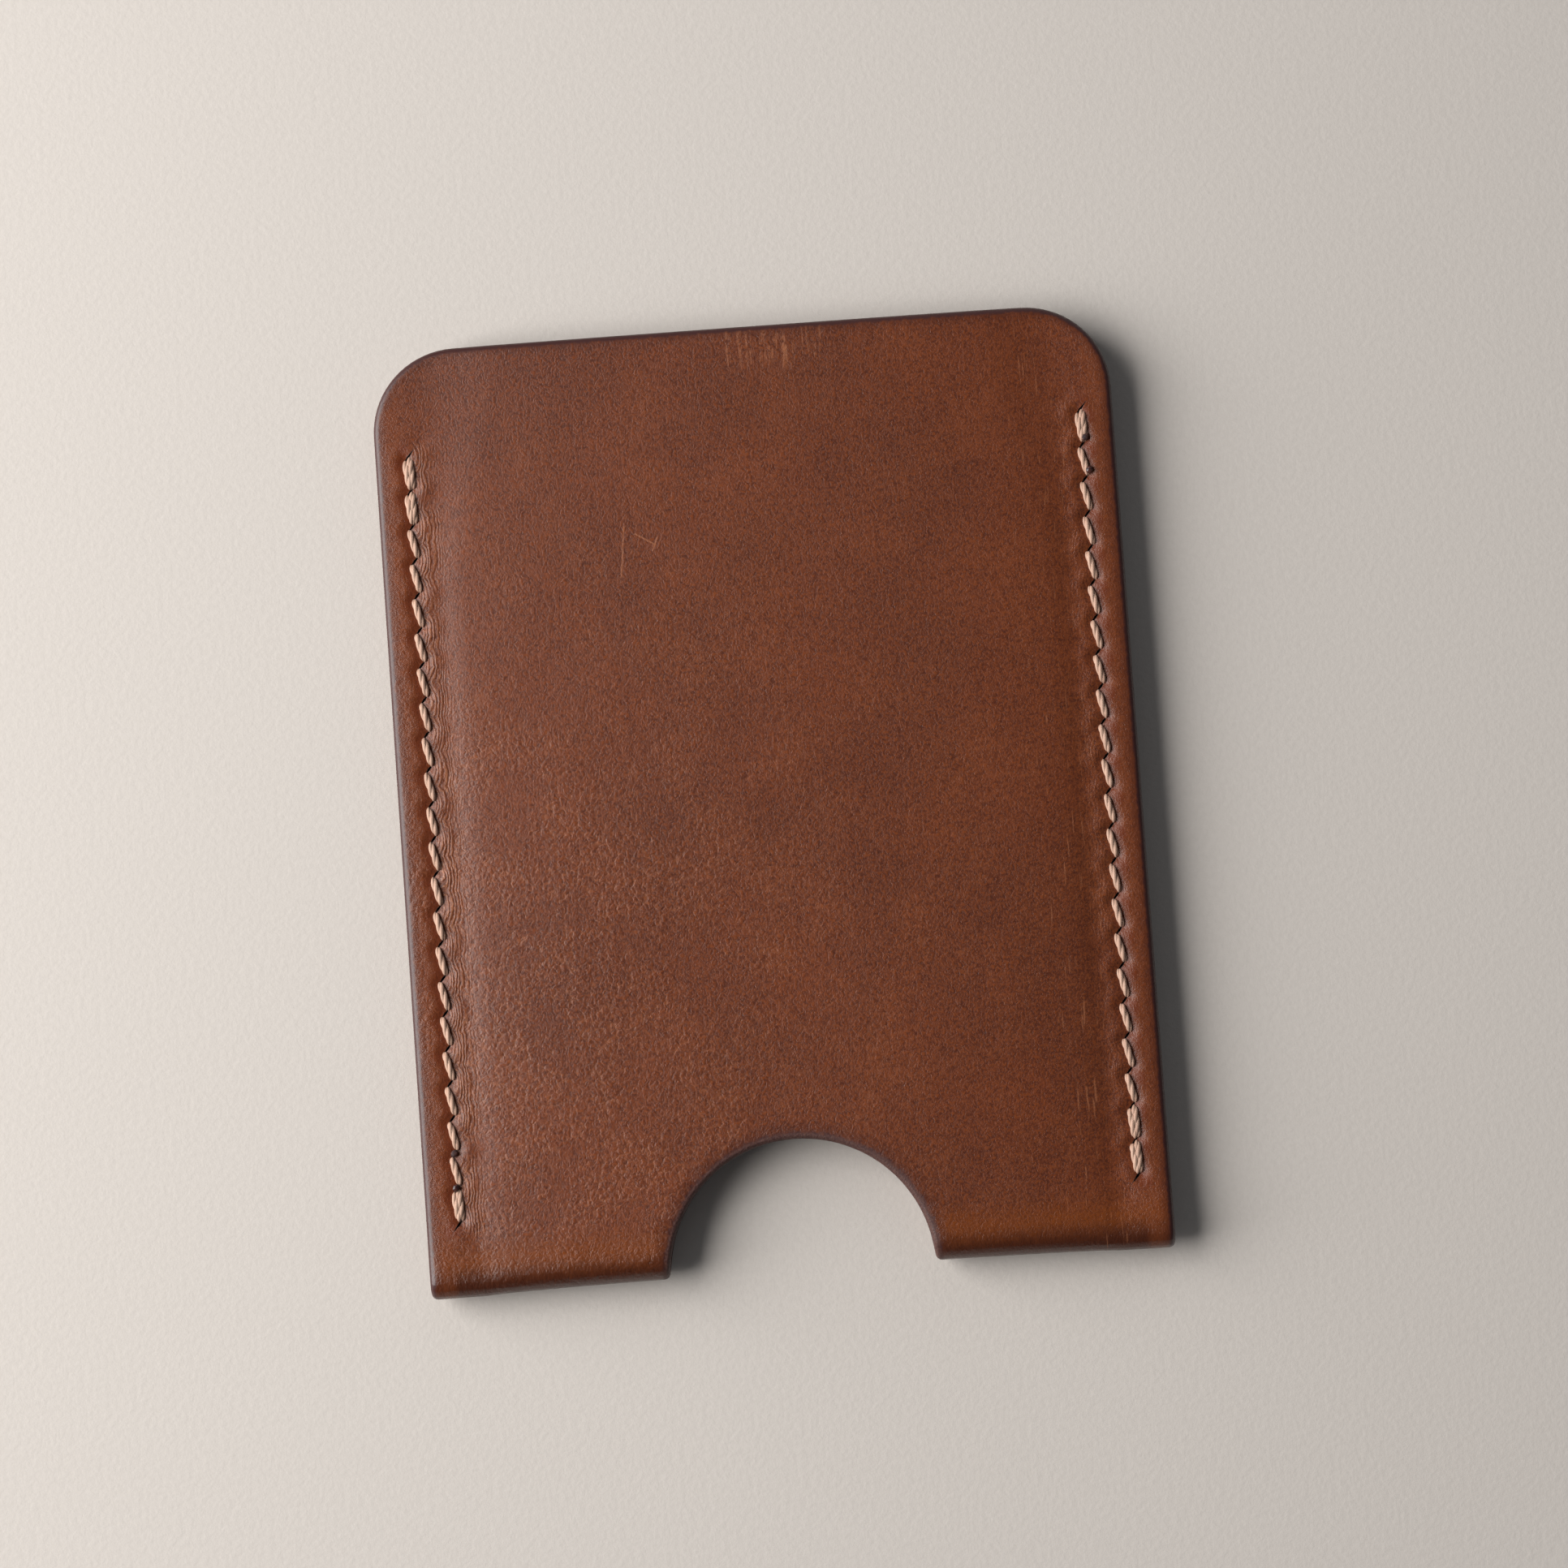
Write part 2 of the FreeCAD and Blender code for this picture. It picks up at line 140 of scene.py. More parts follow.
seam = dict(
    margin=3.2,         # from the side edge to the line of holes
    pitch=3.38,         # awl hole to awl hole
    stitches=22,
    firstFromMouth=10.4,
    angle=50.0,         # slant of the slits
    reach=0.425,        # strand from the middle of its slit
    spread=1.18,        # and how much further out it turns over the lip
    slitLength=1.78,    # awl blade
    slitWidth=0.21,
    groove=0.16,        # how deep the stitches pull the leather down
    grooveWidth=0.6,
    dimple=0.13,        # and deeper at each hole
    dimpleWidth=0.42,
    swell=0.05,         # the leather rises beside a stitch
    swellAt=1.1,
    swellWidth=0.5,
    pucker=0.06,        # ripples on the pocket side of the seam
    puckerAt=1.3,
    puckerWidth=0.9,
    pullsTo=4.0,        # nothing is pulled further than this from the row
)

halfWidth = leatherHigh.x
mouthY = leatherHigh.y
seamGap = leather["glueThick"] / 2
openGap = leather["pocketGap"] / 2
thick = leather["thick"]
seamX = halfWidth - seam["margin"]
foldLineY = leatherLow.y + seamGap + thick - math.pi / 2 * (seamGap + thick / 2)
panelLength = mouthY - foldLineY
firstSlitY = mouthY - seam["firstFromMouth"]
slitTurn = math.radians(seam["angle"])
slitReach = Vector((math.cos(slitTurn), math.sin(slitTurn), 0)) * seam["reach"]


def slitV(number):
    # distance of an awl slit from the fold line, on the flat panel
    return firstSlitY - number * seam["pitch"] - foldLineY


def halfBlank():
    # one panel lying flat, grain side up: u across, v from the fold line, w up
    bm = bmesh.new()
    bmesh.ops.create_cube(bm, size=1)
    bmesh.ops.scale(bm, vec=(2 * halfWidth, panelLength, thick), verts=bm.verts)
    bmesh.ops.translate(bm, vec=(0, panelLength / 2, thick / 2), verts=bm.verts)
    corners = [e for e in bm.edges
               if all(v.co.y > 1 for v in e.verts) and e.verts[0].co.x == e.verts[1].co.x]
    bmesh.ops.bevel(bm, geom=corners, offset=leather["cornerRadius"], segments=18, profile=0.5,
                    affect="EDGES", material=-1)
    punch = bmesh.new()
    bmesh.ops.create_cone(punch, cap_ends=True, segments=112, depth=6, radius1=leather["notchRadius"],
                          radius2=leather["notchRadius"])
    bm = cutAway(bm, punch)
    bmesh.ops.dissolve_limit(bm, angle_limit=0.002, verts=bm.verts, edges=bm.edges)
    caps = [f for f in bm.faces if all(abs(v.co.y) < 1e-4 for v in f.verts)]
    bmesh.ops.delete(bm, geom=caps, context="FACES")
    for level, offset, segments in ((thick, leather["grainBevel"], 4), (0.0, leather["fleshBevel"], 2)):
        rim = [e for e in bm.edges
               if all(abs(v.co.z - level) < 1e-4 for v in e.verts)
               and len(e.link_faces) == 2
               and abs(e.link_faces[0].normal.z) + abs(e.link_faces[1].normal.z) < 1.5]
        bmesh.ops.bevel(bm, geom=rim, offset=offset, segments=segments, profile=0.5,
                        affect="EDGES", material=-1)
    return bm


def awlBlades():
    # a diamond blade through every slit of the panel
    bm = bmesh.new()
    for side in (-1, 1):
        for number in range(seam["stitches"] + 1):
            blade = bmesh.ops.create_cone(bm, cap_ends=True, segments=4, depth=6,
                                          radius1=1, radius2=1)["verts"]
            bmesh.ops.scale(bm, vec=(seam["slitLength"] / 2, seam["slitWidth"] / 2, 1), verts=blade)
            bmesh.ops.rotate(bm, cent=(0, 0, 0), matrix=Matrix.Rotation(slitTurn, 3, "Z"), verts=blade)
            bmesh.ops.translate(bm, vec=(side * seamX, slitV(number), 0), verts=blade)
    return bm


def steps(start, end, step):
    # places from start towards end, end left out
    found = []
    while (end - start) * step > 0:
        found.append(start)
        start += step
    return found


def cutGrid(bm):
    # straight cuts give the panel enough cells to bend, finer where the stitches pull on it
    rowStep = seam["pitch"] / cells["rowsPerStitch"]
    rows = steps(slitV(0), panelLength - cells["mouthRoom"], rowStep)
    rows += steps(slitV(0) - rowStep, cells["foldRoom"], -rowStep)
    rows += [cells["foldFrom"] + cells["fold"] * k for k in range(cells["foldRows"])]
    middleFrom, fineFrom = halfWidth - cells["middleTo"], halfWidth - cells["fineTo"]
    columns = [0.0] + steps(cells["coarse"], middleFrom, cells["coarse"])
    columns += steps(middleFrom, fineFrom, cells["middle"])
    columns += steps(fineFrom, halfWidth - cells["fineFrom"], cells["fine"])
    cuts = [((0, place, 0), (0, 1, 0)) for place in sorted(rows)]
    cuts += [((place, 0, 0), (1, 0, 0)) for place in sorted(set(columns + [-u for u in columns]))]
    for place, facing in cuts:
        bmesh.ops.bisect_plane(bm, geom=bm.verts[:] + bm.edges[:] + bm.faces[:], dist=1e-4,
                               plane_co=place, plane_no=facing)


def segmentDistance(p, a, b):
    along = b - a
    share = min(max((p - a).dot(along) / along.dot(along), 0.0), 1.0)
    return (p - a - along * share).length


def slitMiddles(side, number):
    # the two slits that one stitch joins, as (u, v) on the flat panel
    return Vector((side * seamX, slitV(number))), Vector((side * seamX, slitV(number + 1)))


def stitchEnds(side, number, front):
    # where one visible stitch starts and ends
    top, bottom = slitMiddles(side, number)
    reach = slitReach.xy * seam["spread"]
    if front:
        return top - reach, bottom + reach
    return top + reach, bottom - reach


def bell(distance, width):
    return math.exp(-(distance / width) ** 2)


def stitchPull(u, v, front):
    # how far the stitches pull the grain side down at this spot, in millimetres
    side = 1 if u > 0 else -1
    inward = seamX - abs(u)
    past = 2.5      # beyond the two ends of the row
    if abs(inward) > seam["pullsTo"] or v > slitV(0) + past or v < slitV(seam["stitches"]) - past:
        return 0.0
    here = Vector((u, v))
    nearest, deepest = 9.0, 0.0
    guess = int((slitV(0) - v) / seam["pitch"])
    for number in range(guess - 1, guess + 2):
        if 0 <= number < seam["stitches"]:
            start, end = stitchEnds(side, number, front)
            nearest = min(nearest, segmentDistance(here, start, end))
            for hole in (start, end):
                deepest = max(deepest, bell((here - hole).length, seam["dimpleWidth"]))
    pull = -seam["groove"] * bell(nearest, seam["grooveWidth"]) - seam["dimple"] * deepest
    swell = seam["swell"] * bell(nearest - seam["swellAt"], seam["swellWidth"])
    phase = 2 * math.pi * (slitV(0) - v) / seam["pitch"]
    pucker = seam["pucker"] * math.cos(phase) * bell(inward - seam["puckerAt"], seam["puckerWidth"])
    return pull + swell + pucker


def relief(u, v, front):
    # the hide is never quite flat: broad waves, and the pull of the stitches
    here = Vector((u / leather["waveAcross"], v / leather["waveDown"], 0.3 if front else 5.3))
    wave = (leather["waveHeight"] * noise.noise(here) + leather["rippleHeight"] * noise.noise(here * 4)
            - leather["sink"])
    edge = smoothRamp((halfWidth - abs(u)) / 6)
    return wave * edge + stitchPull(u, v, front)


def pocketHalfGap(u, length):
    # the panels part most steeply beside the seam, and are lightly crowned
    inside = halfWidth - leather["glueWidth"]
    inward = max(inside + leather["startsOver"] - abs(u), 0)
    mouthward = smoothRamp((length - panelLength + leather["calmMouth"]) / leather["calmMouth"])
    gentle = leather["gentleFold"]
    gentle = 1 + gentle - gentle * smoothRamp((length - 6) / 30) + leather["gentleMouth"] * mouthward
    run = leather["bulgeRun"] * gentle
    shoulder = leather["shoulder"] + leather["calmShoulder"] * mouthward
    steep = (1 - math.exp(-inward / run)) * smoothRamp(inward / shoulder)
    crown = (1 - min(abs(u) / inside, 1) ** 2) ** 1.3
    share = leather["crownShare"]
    opening = (openGap - seamGap) * ((1 - share) * steep + share * crown)
    shut = leather["mouthShut"]
    opening *= 1 - shut + shut * smoothRamp((panelLength - length) / 50)
    spring = 1 - smoothRamp((length - 2.6) / leather["springRun"])
    spring *= leather["foldSpring"] * (1 - steep)
    return seamGap + opening + spring


def folded(u, v, w):
    # a point of the flat strip, once the strip is folded over
    front = v >= 0
    length = abs(v)
    gap = pocketHalfGap(u, length)
    quarter = math.pi / 2 * (gap + thick / 2)
    reach = gap + w
    if reach > gap:
        left = leather["foldRelief"]
        left += (1 - left) * smoothRamp((length - quarter * 0.6) / 3)
        reach += w / thick * relief(u, length, front) * left
    if length < quarter:
        turn = length / (gap + thick / 2)
        y = foldLineY + quarter - reach * math.cos(turn)
        rise = reach * math.sin(turn)
    else:
        y = foldLineY + length
        rise = reach
    return Vector((u, y, middleZ + (rise if front else -rise)))


def leatherPiece():
    bm = cutAway(halfBlank(), awlBlades())
    cutGrid(bm)
    bmesh.ops.mirror(bm, geom=bm.verts[:] + bm.edges[:] + bm.faces[:], matrix=Matrix.Identity(4),
                     merge_dist=1e-4, axis="Y")
    bmesh.ops.remove_doubles(bm, verts=bm.verts, dist=1e-4)
    bmesh.ops.recalc_face_normals(bm, faces=bm.faces)
    flat = [v.co * mm for v in bm.verts]
    for v in bm.verts:
        v.co = folded(*v.co)
    piece = pieceFromBmesh(bm, "leather")
    place = piece.data.attributes.new("flat", "FLOAT_VECTOR", "POINT")
    place.data.foreach_set("vector", [c for p in flat for c in p])
    piece.data.set_sharp_from_angle(angle=math.radians(38))
    return piece


leatherSkin = leatherPiece()
print("leather folded:", len(leatherSkin.data.polygons), "faces")


thread = dict(
    plies=3,
    plyRadius=0.215,
    plyOffset=0.15,     # ply centre from the middle of the thread
    twist=3.4,          # length of one full turn
    surface=4.03,       # middle of a stitch above the table, on the front
    neck=0.5,           # how thin the thread is pinched inside its slit
    flatten=0.34,       # how much a stitch is pressed flat
    laneGap=0.22,       # how far the two strands of a doubled stitch are spread
    inside=0.75,        # a strand ends this far from the middle of the holder
    lip=0.42,           # it leaves the slit this far below the stitch
    lean=0.34,          # and is nearly up this far along
    nearlyUp=0.06,      # by how much it still lacks
    arch=0.04,          # and rises over the middle of the stitch
    pinchDepth=0.46,    # pinched this far below the stitch and further in
    pinchRun=0.48,      # and back to its full size over this length
)

# end stitches that are worked twice, per seam and face
doubled = {
    (-1, True): (0, 1, 21),
    (1, True): (0, 20, 21),
    (-1, False): (0, 21),
    (1, False): (0, 21),
}


def flatToPanel(spot, z):
    # (u, v) on a panel to a place in the frame
    return Vector((spot.x, foldLineY + spot.y, z))


def stitchLane(side, number, front, lane):
    # start and end of one strand of a stitch; lanes -1 and 1 lie side by side, each at its
    # own share of the reach from the middle of the slit
    if lane == 0:
        return stitchEnds(side, number, front)
    top, bottom = slitMiddles(side, number)
    reach = slitReach.xy
    turn = 1 if front else -1
    below = Vector((0, -thread["laneGap"]))
    if lane < 0:
        return top - 1.15 * turn * reach, bottom + 0.15 * turn * reach - below
    return top + 0.55 * turn * reach + below, bottom + 1.05 * turn * reach


def overTheTop(side, number, front, lane=0):
    # control points of one stitch, from inside one slit to inside the next
    start, end = stitchLane(side, number, front, lane)
    lean = (end - start).normalized() * thread["lean"]
    rise = thread["surface"] - middleZ
    inside, lip = thread["inside"], rise - thread["lip"]
    sign = 1 if front else -1
    up = rise - thread["nearlyUp"]
    route = [(start, inside), (start, lip), (start + lean, up),
             (start.lerp(end, 0.5), rise + thread["arch"]),
             (end - lean, up), (end, lip), (end, inside)]
    return [flatToPanel(spot, middleZ + sign * height) for spot, height in route]


def needleRoute(side, frontFirst):
    # one needle's way down the whole seam
    route = []
    front = frontFirst
    for number in range(seam["stitches"]):
        lane = -1 if number in doubled[side, front] else 0
        route += overTheTop(side, number, front, lane)
        front = not front
    return route


def smoothRoute(points):
    # points read from the NURBS spline that the control points steer
    data = bpy.data.curves.new("route", "CURVE")
    data.dimensions = "3D"
    data.resolution_u = 4
    spline = data.splines.new("NURBS")
    spline.points.add(len(points) - 1)
    for slot, point in zip(spline.points, points):
        slot.co = (*point, 1)
    spline.order_u = 3
    spline.use_endpoint_u = True
    holder = bpy.data.objects.new("route", data)
    mesh = bpy.data.meshes.new_from_object(holder)
    found = [v.co.copy() for v in mesh.vertices]
    bpy.data.meshes.remove(mesh)
    bpy.data.objects.remove(holder)
    bpy.data.curves.remove(data)
    return found


def twistPlies(route):
    # the plies wind round the route: for each point its pinch, length so far, height and flattening
    tangents = [(b - a).normalized() for a, b in zip(route, route[1:])]
    tangents.append(tangents[-1])
    across = tangents[0].orthogonal().normalized()
    plies = [[] for _ in range(thread["plies"])]
    travelled = 0.0
    for index, (point, tangent) in enumerate(zip(route, tangents)):
        if index:
            travelled += (point - route[index - 1]).length
            across = tangents[index - 1].rotation_difference(tangent) @ across
        height = abs(point.z - middleZ) - (thread["surface"] - middleZ - thread["pinchDepth"])
        pinch = thread["neck"] + (1 - thread["neck"]) * smoothRamp(height / thread["pinchRun"])
        level = math.hypot(tangent.x, tangent.y)
        for ply, line in enumerate(plies):
            turn = 2 * math.pi * (travelled / thread["twist"] + ply / thread["plies"])
            offset = Matrix.Rotation(turn, 3, tangent) @ across * thread["plyOffset"] * pinch
            line.append((point + offset, pinch, travelled, point.z, thread["flatten"] * level))
    return plies


def addPly(bm, line):
    # one ply as a bevelled poly spline, with its fibre direction kept for the material
    data = bpy.data.curves.new("ply", "CURVE")
    data.dimensions = "3D"
    data.bevel_depth = thread["plyRadius"]
    data.bevel_resolution = 2
    data.use_fill_caps = True
    spline = data.splines.new("POLY")
    spline.points.add(len(line) - 1)
    for slot, (point, pinch, *_) in zip(spline.points, line):
        slot.co = (*point, 1)
        slot.radius = pinch
    holder = bpy.data.objects.new("ply", data)
    mesh = bpy.data.meshes.new_from_object(holder)
    ply = bmesh.new()
    ply.from_mesh(mesh)
    fibre = ply.verts.layers.float_vector.new("fibre")
    sides = 4 + 2 * data.bevel_resolution
    for index, v in enumerate(ply.verts):
        ring, place = divmod(index, sides)
        turn = 2 * math.pi * place / sides
        _, _, length, height, flatten = line[min(ring, len(line) - 1)]
        v[fibre] = Vector((length, math.cos(turn), math.sin(turn))) * mm
        v.co.z = height + (v.co.z - height) * (1 - flatten)
    bmesh.ops.remove_doubles(ply, verts=ply.verts, dist=1e-5)
    joined = bpy.data.meshes.new("ply")
    ply.to_mesh(joined)
    ply.free()
    bm.from_mesh(joined)
    bpy.data.meshes.remove(joined)
    bpy.data.meshes.remove(mesh)
    bpy.data.objects.remove(holder)
    bpy.data.curves.remove(data)


def seamThread(side, name):
    routes = [needleRoute(side, True), needleRoute(side, False)]
    for front in (True, False):
        routes += [overTheTop(side, number, front, 1) for number in doubled[side, front]]
    bm = bmesh.new()
    bm.verts.layers.float_vector.new("fibre")
    for route in routes:
        for line in twistPlies(smoothRoute(route)):
            addPly(bm, line)
    bmesh.ops.recalc_face_normals(bm, faces=bm.faces)
    return pieceFromBmesh(bm, name)


leftThread = seamThread(-1, "leftThread")
rightThread = seamThread(1, "rightThread")
print("threads:", len(leftThread.data.polygons), "faces each")


# the two ends of each thread: slit number, place from its middle, glossy or charred
singedEnds = {
    -1: ((20, (-0.02, 0.02), False), (21, (-0.08, 0.1), True)),
    1: ((1, (0.3, 0.66), False), (2, (0.46, 0.82), True)),
}
bead = dict(
    radius=0.38,
    height=0.26,
    lump=0.1,
    grit=0.05,
    glossyLift=0.1,     # how far a bead stands above the middle of a stitch
    charredLift=0.02,
)


def singedBeads(side, name):
    bm = bmesh.new()
    for number, offset, glossy in singedEnds[side]:
        spot = Vector((side * seamX, slitV(number))) + Vector(offset)
        centre = flatToPanel(spot, thread["surface"] + bead["glossyLift" if glossy else "charredLift"])
        blob = bmesh.ops.create_icosphere(bm, subdivisions=4, radius=1)["verts"]
        for v in blob:
            lump = bead["lump"] * noise.noise(v.co * 1.6 + centre)
            v.co *= 1 + lump + bead["grit"] * noise.noise(v.co * 5 + centre)
        bmesh.ops.scale(bm, vec=(bead["radius"], bead["radius"] * 0.86, bead["height"]), verts=blob)
        bmesh.ops.rotate(bm, cent=(0, 0, 0), matrix=Matrix.Rotation(slitTurn, 3, "Z"), verts=blob)
        bmesh.ops.translate(bm, vec=centre, verts=blob)
    return pieceFromBmesh(bm, name)


leftBeads = singedBeads(-1, "leftSingedEnds")
rightBeads = singedBeads(1, "rightSingedEnds")
print("singed ends:", len(leftBeads.data.polygons), "faces each")


class Wire:
    # a shader socket that can be used in ordinary sums
    def __init__(self, tree, socket=None):
        self.tree = tree
        self.socket = socket

    def node(self, kind, settings=None, inputs=None, out=0):
        made = self.tree.nodes.new("ShaderNode" + kind)
        for name, value in (settings or {}).items():
            setattr(made, name, value)
        for name, value in (inputs or {}).items():
            if isinstance(value, Wire):
                self.tree.links.new(value.socket, made.inputs[name])
            else:
                made.inputs[name].default_value = value
        return Wire(self.tree, made.outputs[out])

    def sum(self, operation, *values):
        return self.node("Math", dict(operation=operation), dict(enumerate(values)))

    def __add__(self, other):
        return self.sum("ADD", self, other)

    def __radd__(self, other):
        return self.sum("ADD", other, self)

    def __sub__(self, other):
        return self.sum("SUBTRACT", self, other)

    def __rsub__(self, other):
        return self.sum("SUBTRACT", other, self)

    def __mul__(self, other):
        return self.sum("MULTIPLY", self, other)

    def __rmul__(self, other):
        return self.sum("MULTIPLY", other, self)

    def __truediv__(self, other):
        return self.sum("DIVIDE", self, other)

    def __pow__(self, other):
        return self.sum("POWER", self, other)

    def __neg__(self):
        return self.sum("MULTIPLY", self, -1)

    def size(self):
        return self.sum("ABSOLUTE", self)

    def least(self, other):
        return self.sum("MINIMUM", self, other)

    def most(self, other):
        return self.sum("MAXIMUM", self, other)

    def ramp(self, start, end):
        # 0 at start, 1 at end, smooth between; end may lie below start
        low, high = min(start, end), max(start, end)
        rising = self.node("MapRange", dict(interpolation_type="SMOOTHSTEP"),
                           {"Value": self, "From Min": low, "From Max": high})
        return rising if end > start else 1 - rising

    def stretch(self, x, y, z):
        return self.node("VectorMath", dict(operation="MULTIPLY"), {0: self, 1: (x, y, z)})

    def push(self, other, amount):
        # a place moved about by a colour or vector centred on 0.5
        centred = self.node("VectorMath", dict(operation="SUBTRACT"), {0: other, 1: (0.5, 0.5, 0.5)})
        moved = self.node("VectorMath", dict(operation="SCALE"), {0: centred, "Scale": amount})
        return self.node("VectorMath", dict(operation="ADD"), {0: self, 1: moved})

    def cloud(self, scale, detail, roughness=0.5, out=0):
        return self.node("TexNoise", None,
                         {"Vector": self, "Scale": scale, "Detail": detail, "Roughness": roughness}, out)

    def pebbles(self, scale):
        # distance from the middle of the nearest cell
        return self.node("TexVoronoi", None, {"Vector": self, "Scale": scale})

    def tint(self, first, second):
        # this mask mixes the second colour over the first
        return self.node("Mix", dict(data_type="RGBA"), {0: self, 6: first, 7: second}, 2)

    def axes(self):
        return [self.node("SeparateXYZ", None, {0: self}, out) for out in range(3)]


def shade(red, green, blue):
    # a colour from 0 to 255, made linear
    return tuple((c / 255 / 12.92 if c < 10.3 else ((c / 255 + 0.055) / 1.055) ** 2.4)
                 for c in (red, green, blue)) + (1.0,)


def newFinish(name, **fixed):
    # a material, the start of its wires and its shader; fixed numbers go on the shader's own sockets
    material = bpy.data.materials.new(name)
    material.use_nodes = True
    tree = material.node_tree
    shader = tree.nodes["Principled BSDF"]
    for socket, value in fixed.items():
        shader.inputs[socket.replace("_", " ")].default_value = value
    return material, Wire(tree), shader


def connect(start, shader, height, **wires):
    # the varying inputs, and a height in millimetres as bump
    for socket, wire in wires.items():
        start.tree.links.new(wire.socket, shader.inputs[socket.replace("_", " ")])
    bump = start.node("Bump", None, {"Strength": 1.0, "Distance": mm, "Height": height})
    start.tree.links.new(bump.socket, shader.inputs["Normal"])


def ownPlace(start):
    # a point of the piece, in millimetres
    return start.node("TexCoord", None, None, 3).stretch(1 / mm, 1 / mm, 1 / mm)


def ownAttribute(start, name):
    # a place kept on the mesh, in millimetres
    return start.node("Attribute", dict(attribute_name=name), None, 1).stretch(1 / mm, 1 / mm, 1 / mm)


hideColours = dict(
    tan=shade(132, 67, 29),         # where the dye is thinnest; on the grain ridges partly a painted highlight
    body=shade(106, 48, 19),
    umber=shade(72, 30, 15),        # darker clouds in the dye; between the grain ridges partly painted shade
    amber=shade(121, 60, 14),       # pulled-up wax on the fold
    # painted shade along the fold, where it turns away from the light
    foldPaintedShade=shade(60, 23, 8),
    pore=shade(58, 28, 22),
    # pale: real scuffs and strokes, and the painted highlight on pebbles and creases
    scuffAndHighlight=shade(178, 116, 80),
    margin=shade(120, 60, 26),
    wetSeam=shade(110, 48, 20),     # beside the stitches
    edge=shade(62, 29, 27),         # burnished rim
    edgeFibre=shade(84, 52, 44),    # fibres standing up round the notch
    suede=shade(164, 112, 78),      # flesh side
    suedeDark=shade(120, 76, 50),
    # painted shade inside and round the awl slits
    slit=shade(26, 13, 10),
)
hideGrain = dict(
    ridgeHeight=0.017,
    pebble=2.2,         # pebbles per millimetre
    pebbleHeight=0.042,
    poreHeight=0.012,
    creaseHeight=0.016,
    creasePitch=0.33,
    fleshHeight=0.1,
    fibreHeight=0.015,
)

# short scratches high on the front: from, to, in millimetres across and up from the fold
scuffs = (((-12.25, 73.0), (-12.8, 68.1)), ((-11.2, 72.2), (-9.3, 71.0)), ((-9.1, 71.7), (-9.6, 70.5)))


def segment(u, v, start, end):
    # distance from a short straight mark
    du, dv = end[0] - start[0], end[1] - start[1]
    long2 = du * du + dv * dv
    share = (((u - start[0]) * du + (v - start[1]) * dv) / long2).most(0).least(1)
    return ((u - start[0] - share * du) ** 2 + (v - start[1] - share * dv) ** 2) ** 0.5


